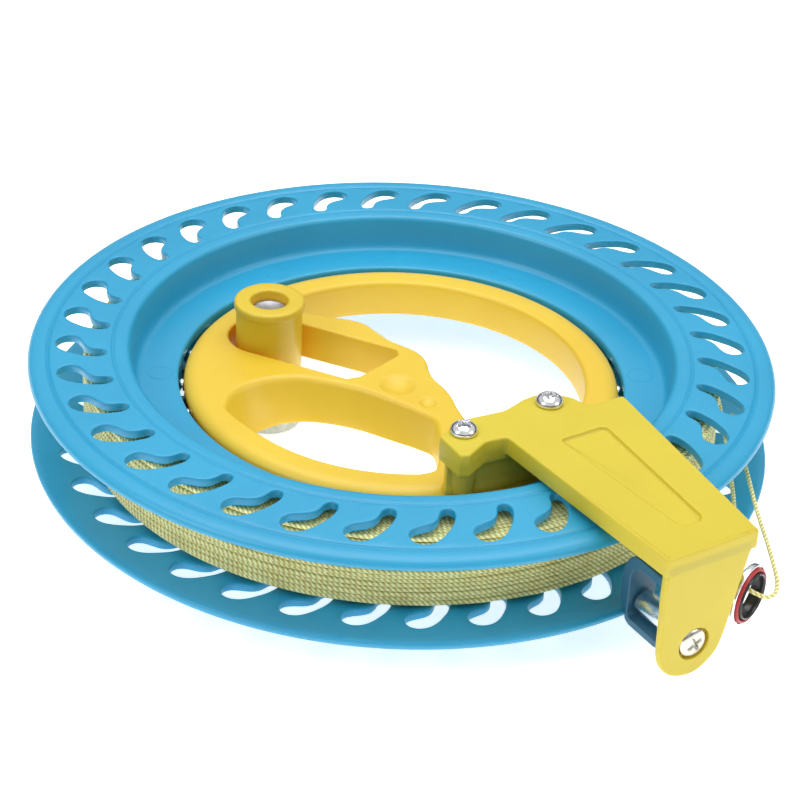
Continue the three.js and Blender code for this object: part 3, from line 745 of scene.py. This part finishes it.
DIMPLES = ((-0.8, -6.25, 4.6, 48, 1.5), (6.7, -13.75, 2.3, 36, 0.9))
points, faces = slab(
    [circle(0, 0, HUB_R, 360), big_opening, lens, lock_slot],
    [race_rows, edge_rows, lens_rows, slot_rows],
    [circle(x, y, radius, count) for x, y, radius, count, depth in DIMPLES],
    [dimple_rows(radius, depth) for x, y, radius, count, depth in DIMPLES], {2: scooped})
boss_profile = [(1.7, 4.0), (3.6, 4.0), (3.6, 4.9), (3.6, 11.9), (3.4, 12.1), (1.7, 12.1)]
boss_points, boss_faces = gather(*[moved(turned_piece(boss_profile, 32, ring=True), spot)
                                   for spot in on_arm([(s, n, 0) for s, n in ARM_BOLTS])])
pad_arc = [(52.3 * math.cos(a), 52.3 * math.sin(a)) for a in np.radians(np.linspace(-21, 18, 14))]
pad_outline = rounded(
    [(47.4, 15.2), (44.6, 12), (43.4, 9), (43.7, 5.6), (45.6, -1), (44.5, -11), (47.2, -18.6)]
    + pad_arc, [2, 2, 2, 3, 4, 2, 1.2] + [0.2] * 14)
pad_rows = [(0.9, 12.1), (0.7, 12.1), (0.2, 11.9), (0, 11.4), (0, 6.4), (-0.15, 5.6), (-0.4, 4.9),
            (-0.4, 3.6), (0.5, 3.6)]
pad_points, pad_faces = slab([pad_outline], [pad_rows])
hub_faces = faces + (boss_faces + len(points)).tolist()
base = len(points) + len(boss_points)
hub_faces += [[corner + base for corner in face] for face in pad_faces]
make_piece("hub_moulding", np.vstack([points, boss_points, on_arm(pad_points)]), hub_faces, HUB,
           "hub", ["grip_hub"])


# ---- Lock: a hollow moulded post slides in the hub's slot. A steel pin is pressed through it, and
# a chromed flange under it keeps it in the slot and stops the wheel when it is pushed out.
lock_spot = spots_round(36.3, SLIDE_DEG, 1)[0]
post = [(4.6, -14.8), (8.0, -14.8), (8.2, -14.6), (8.2, 12.5), (8.3, 12.8), (8.55, 12.95),
        (8.7, 13.2), (8.7, 14.3), (8.6, 14.75), (8.3, 15.02), (7.8, 15.1), (5.4, 15.1),
        (5.0, 15.02), (4.72, 14.8), (4.6, 14.4)]
points, faces = moved(turned_piece(post, 96, ring=True), lock_spot)
# The last colour is painted shade, laid into close corners and recesses.
POST = moulded_plastic("post_yellow_abs", (0.68, 0.52, 0.034), (0.63, 0.46, 0.026), 0.34, 0.25,
                       (0.86, 0.42, 0.006))
make_piece("lock_post_moulding", points, faces, POST, "lock", ["lock_post"])
STEEL = polished_metal("brushed_steel", (0.42, 0.43, 0.46), 0.42, 900)
pin = [(ON_AXIS, -16.4), (4.35, -16.4), (4.35, 12.3), (4.2, 12.6), (3.9, 12.7), (3.2, 12.7),
       (3.1, 12.62), (ON_AXIS, 12.62)]
points, faces = moved(turned_piece(pin, 64), lock_spot)
make_piece("lock_steel_pin", points, faces, STEEL, "lock", ["lock_pin"])
foot = [(ON_AXIS, -18.2), (5.5, -18.2), (7.0, -18.3), (7.2, -18.6), (7.3, -18.9), (7.6, -19.0),
        (8.1, -19.0), (8.45, -18.8), (8.6, -18.4), (8.6, -15.8), (8.35, -15.3), (7.9, -15.1),
        (4.7, -15.1), (4.65, -16.5), (4.4, -16.75)]
points, faces = moved(turned_piece(foot, 96), lock_spot)
# Painted reflection: the dark green-grey of this chrome stands for the yellow post and the
# underside of the hub mirrored in it.
FLANGE = polished_metal("flange_chrome_painted_reflection", (0.50, 0.55, 0.52), 0.2, 600)
make_piece("lock_chrome_flange", points, faces, FLANGE, "lock", ["lock_flange"])


# ---- Guide arm: a lemon-yellow moulding bolted on the hub. Its root steps up over the wheel's
# bead, its plate has a shallow sunk panel, and its leg turns down outside the flanges.
def joined(name, surfaces):
    """One welded mesh from several overlapping closed surfaces, by Blender's exact union."""
    parts = []
    for points, faces in surfaces:
        mesh = bpy.data.meshes.new(name)
        mesh.from_pydata(np.asarray(points).tolist(), [], [list(face) for face in faces])
        work = bmesh.new()
        work.from_mesh(mesh)
        bmesh.ops.remove_doubles(work, verts=work.verts, dist=2e-4)
        bmesh.ops.recalc_face_normals(work, faces=work.faces)
        work.to_mesh(mesh)
        work.free()
        part = bpy.data.objects.new(name, mesh)
        bpy.context.scene.collection.objects.link(part)
        parts.append(part)
    for other in parts[1:]:
        union = parts[0].modifiers.new("union", "BOOLEAN")
        union.operation, union.solver, union.object = "UNION", "EXACT", other
    graph = bpy.context.evaluated_depsgraph_get()
    result = bpy.data.meshes.new_from_object(parts[0].evaluated_get(graph))
    points = np.array([vertex.co[:] for vertex in result.vertices])
    faces = [list(face.vertices) for face in result.polygons]
    for part in parts:
        bpy.data.objects.remove(part)
    return points, faces


# The last colour is painted shade, laid into close corners and recesses.
ARM = moulded_plastic("arm_yellow_abs", (0.62, 0.505, 0.032), (0.57, 0.455, 0.024), 0.38, 0.2,
                      (0.66, 0.44, 0.008))
ARM_TOP, ARM_UNDER, ARM_FOOT, LEG_OUT, LEG_IN = 18.6, 13.8, 12.4, 110.0, 108.0
AXLE_N, AXLE_Z = 6.0, -6.6
root_front = [(47.5, 16.2), (43.6, 13), (42.3, 9), (42.6, 5.5), (44.6, -1), (43.4, -11),
              (46.8, -20), (55.8, -20.3), (56.6, -18.2), (53.6, -12.0), (54.3, -6.8)]
corner = [3, 3.5, 3, 5, 6, 2, 0.8, 0.8, 0.8, 3, 1.5]
plate_outline = rounded([(52, 27), (52, 17.2)] + root_front + [(LEG_OUT, -4.0), (LEG_OUT, 20.2)],
                        [1, 2.5] + corner + [0.5, 0.5])
root_outline = rounded([(52, 27), (52, 17.2)] + root_front + [(54.5, 26.5)],
                       [0.8, 2.5] + corner + [0.8])
leg_outline = np.vstack([[(-3.7, 16.5), (-3.8, 8)], through([
    (-3.5, 0), (-3.4, -4.0), (-3.1, -7.7), (-2.0, -10.8), (0.3, -13.2), (3.9, -14.6), (7.4, -14.6),
    (10.2, -13.1), (12.6, -10.8), (13.9, -7.6), (14.9, -3.8)]),
    [(16.8, 5.3), (18.6, 13), (19.8, 16.5)]])


def soft_rows(top, bottom, r):
    """Rows of a plate's wall between two heights, with quarter rounds of radius r at both edges."""
    bend = [(r * (1 - math.sin(a)), r * (1 - math.cos(a))) for a in np.linspace(0, np.pi / 2, 5)]
    down = [(inset, top - drop) for inset, drop in bend]
    up = [(inset, bottom + drop) for inset, drop in bend[::-1]]
    return [(r + 0.15, top)] + down + up + [(r + 0.15, bottom)]


panel = rounded([(61.3, 3.1), (99.6, 6.0), (101.2, 7.4), (101.2, 11.2), (99.6, 12.6), (61.6, 15.5),
                 (60.8, 14.2), (60.8, 4.2)], [1.6, 1.5, 1.5, 1.5, 1.5, 1.6, 1.5, 1.5], 5)
panel_rows = [(0.45, ARM_TOP), (0.3, ARM_TOP), (0.1, 18.52), (0, 18.35), (-0.12, 18.0),
              (-0.35, 17.8), (-0.75, 17.7), (-0.9, 17.7)]
plate_part = slab([plate_outline], [soft_rows(ARM_TOP, ARM_UNDER, 0.55)], [panel], [panel_rows])
root_part = slab([root_outline], [soft_rows(ARM_UNDER + 1, ARM_FOOT, 0.55)])
screw_seat = [(0.4, LEG_OUT), (0.25, LEG_OUT), (0.06, 109.92), (0, 109.7), (0, 109.05),
              (-0.1, 108.9), (-0.3, 108.9)]
leg_points, leg_faces = slab([leg_outline], [soft_rows(LEG_OUT, LEG_IN, 0.55)],
                             [circle(AXLE_N, AXLE_Z, 4.0, 48)], [screw_seat])
LEG_SHY = 0.012
points, faces = joined("arm", [plate_part, root_part])
faces += [[corner + len(points) for corner in face] for face in leg_faces]
points = np.vstack([points, leg_points[:, [2, 0, 1]] - [LEG_SHY, 0, 0]])
make_piece("arm_moulding", on_arm(points), faces, ARM, "hub", ["guide_arm"], sharp=32)


# ---- Arm screws: two bright-plated steel pan-head screws with pressed cross recesses. Each goes
# down through the arm's tab into a boss of the hub and clamps the arm on it.
for number, ((s, n), turn) in enumerate(zip(ARM_BOLTS, (12.0, 48.0)), 1):
    points, faces = cross_screw(3.25, 2.4, 1.5, 15.6, turn)
    make_piece(f"arm_bolt_{number}", on_arm(points.reshape(-1, 3) + [s, n, ARM_TOP + 0.05]), faces,
               CHROME, "hub", [f"arm_screw_{number}"])


# ---- Roller guide: a teal moulded loop on the inside of the leg, held by a zinc screw, which is
# also the axle of a polished steel roller that the line runs over.
TEAL = moulded_plastic("bracket_teal_abs", (0.030, 0.135, 0.225), (0.022, 0.105, 0.180), 0.40, 0.05)
side = rounded([(107.7, 6.7), (92.8, 6.7), (90.4, 5.2), (88.9, 2.4), (88.4, -1.5), (88.4, -6.8),
                (90.45, -8.8), (90.6, -11), (92.2, -11.8), (101.5, -11.8), (103.4, -11),
                (107.7, -11)], [0.8, 2, 2, 3, 3, 1.5, 1, 1, 1.5, 2, 1, 0.8])
window = rounded([(103.6, 4.4), (94.4, 4.4), (92.6, 3.4), (91.4, 1.4), (91.3, -8.8), (91.9, -9.8),
                  (103.6, -9.8)], [0.8, 1, 1, 2, 0.4, 0.4, 0.8])
points, faces = slab([side, window], [soft_rows(9.6, 2.0, 0.3)] * 2)
make_piece("roller_bracket", on_arm(points[:, [0, 2, 1]]), faces, TEAL, "hub", ["guide_bracket"])
ROLLER_STEEL = polished_metal("roller_steel", (0.97, 0.97, 0.98), 0.2, 500)
roller_profile = [(1.6, 92.0), (2.35, 92.0), (2.65, 92.1), (2.8, 92.4), (2.8, 102.8), (2.65, 103.1),
                  (2.35, 103.2), (1.6, 103.2)]
points, faces = turned_piece(roller_profile, 64, ring=True)
points = points.reshape(-1, 3)[:, [2, 0, 1]] + [0, AXLE_N, AXLE_Z]
make_piece("steel_roller", on_arm(points), faces, ROLLER_STEEL, "roller", ["guide_roller"])
points, faces = cross_screw(3.6, 1.5, 1.35, 18.3, 30)
points = points.reshape(-1, 3)[:, [2, 0, 1]] + [LEG_OUT - 1.05, AXLE_N, AXLE_Z]
make_piece("axle_screw", on_arm(points), faces, ZINC, "hub", ["guide_screw"])


# ---- Eyelet: a bright wire ring on two struts from a foot on the leg, with a red shock ring
# snapped in it and a dark ceramic insert in that, where the line runs.
EYE, EYE_DEG = (78, -73.7, -3.5), -35.0


def round_band(inner, outer, half_width, bulge):
    """A ring's closed section: a superellipse between two radii, of power 2 + bulge, so it is
    fuller in its corners as bulge grows."""
    angle = np.linspace(0, 2 * np.pi, 24, endpoint=False)
    power = 2 / (2 + bulge)
    u = np.sign(np.cos(angle)) * np.abs(np.cos(angle)) ** power
    v = np.sign(np.sin(angle)) * np.abs(np.sin(angle)) ** power
    return list(zip((inner + outer) / 2 + u * (outer - inner) / 2, v * half_width))


def ring_at_eye(profile):
    """A ring of the given section standing on edge at the eyelet, turned to face the line."""
    return moved(turned_piece(profile, 96, ring=True), EYE, EYE_DEG, lean=True)


foot_points, foot_faces = block((0.6, 2.6, 3.5), 0.35)
foot_points = on_arm(foot_points.reshape(-1, 3) + [LEG_IN - 1.0, 13.2, -4])
start = on_arm([(LEG_IN - 1.0, 15.4, -4)])[0]
WIRE_RING_R = 7.0
struts = []
for rise in (2.6, -2.6):
    out = WIRE_RING_R * math.cos(rise / WIRE_RING_R)
    toward = math.radians(EYE_DEG - 90)
    end = np.array(EYE) + [out * math.cos(toward), out * math.sin(toward), rise]
    run = start + (end - start) * np.linspace(0, 1, 12)[:, None]
    struts.append((tube(run, 0.6, 16)[0], grid_faces(12, 16, close_columns=True)))
points, faces = gather(ring_at_eye(round_band(6.6, 7.4, 0.75, 0.6)), (foot_points, foot_faces),
                       *struts)
make_piece("eyelet_wire", points, faces, CHROME, "hub", ["eyelet_frame"])
RED = moulded_plastic("shock_ring_red", (0.48, 0.022, 0.030), (0.36, 0.014, 0.020), 0.35, 0.1)
points, faces = ring_at_eye(round_band(5.75, 6.5, 1.3, 1.0))
make_piece("eyelet_red_ring", points, faces, RED, "hub", ["eyelet_shock_ring"])
CERAMIC = moulded_plastic("eyelet_ceramic", (0.030, 0.028, 0.030), (0.018, 0.017, 0.019), 0.18, 0.0)
points, faces = ring_at_eye(round_band(4.8, 5.65, 1.7, 0.3))
make_piece("eyelet_insert_ring", points, faces, CERAMIC, "hub", ["eyelet_insert"])


# ---- Floor and light: a plain white paper sweep that is lit a little from within, so the ground
# stays white, under three soft boxes, one above and one to each side.
floor_mesh = bpy.data.meshes.new("floor")
half, down = 4.0, -0.0005
floor_mesh.from_pydata([(-half, -half, down), (half, -half, down), (half, half, down),
                        (-half, half, down)], [], [(0, 1, 2, 3)])
floor = bpy.data.objects.new("floor", floor_mesh)
bpy.context.scene.collection.objects.link(floor)
floor_finish, nodes, links, shader = new_material("floor_paper", 0.9)
fibre = add_noise(nodes, links, 6, 2)
paper = add_ramp(nodes, links, fibre.outputs["Fac"], (0.95, 0.95, 0.95), 0, (0.98, 0.98, 0.98), 1)
links.new(paper, shader.inputs["Base Color"])
shader.inputs["Emission Color"].default_value = (1, 1, 1, 1)
shader.inputs["Emission Strength"].default_value = 0.62
floor_mesh.materials.append(floor_finish)
world = bpy.data.worlds.new("studio")
bpy.context.scene.world = world
bpy.context.scene.view_settings.view_transform = "Standard"
world.use_nodes = True
nodes, links = world.node_tree.nodes, world.node_tree.links
sky = nodes.new("ShaderNodeTexCoord")
split = nodes.new("ShaderNodeSeparateXYZ")
links.new(sky.outputs["Generated"], split.inputs["Vector"])
room = add_ramp(nodes, links, split.outputs["Z"], (0.12, 0.12, 0.13), 0.2, (1.2, 1.2, 1.2), 0.5)
links.new(room, nodes["Background"].inputs["Color"])
nodes["Background"].inputs["Strength"].default_value = 0.64


def soft_box(name, place, size, power):
    """A square area light at a place in metres, turned to face the reel."""
    light = bpy.data.lights.new(name, "AREA")
    light.size, light.energy = size, power
    lamp = bpy.data.objects.new(name, light)
    lamp.location = place
    bpy.context.scene.collection.objects.link(lamp)
    toward = -np.array(place)
    pitch = math.acos(-toward[2] / np.linalg.norm(toward))
    lamp.rotation_euler = (pitch, 0, math.atan2(toward[1], toward[0]) - math.pi / 2)


soft_box("top_box", (0.0, 0.15, 1.0), 0.9, 6.5)
soft_box("left_box", (-0.8, -0.5, 0.7), 0.5, 3.0)
soft_box("right_box", (0.9, -0.3, 0.6), 0.5, 2.0)
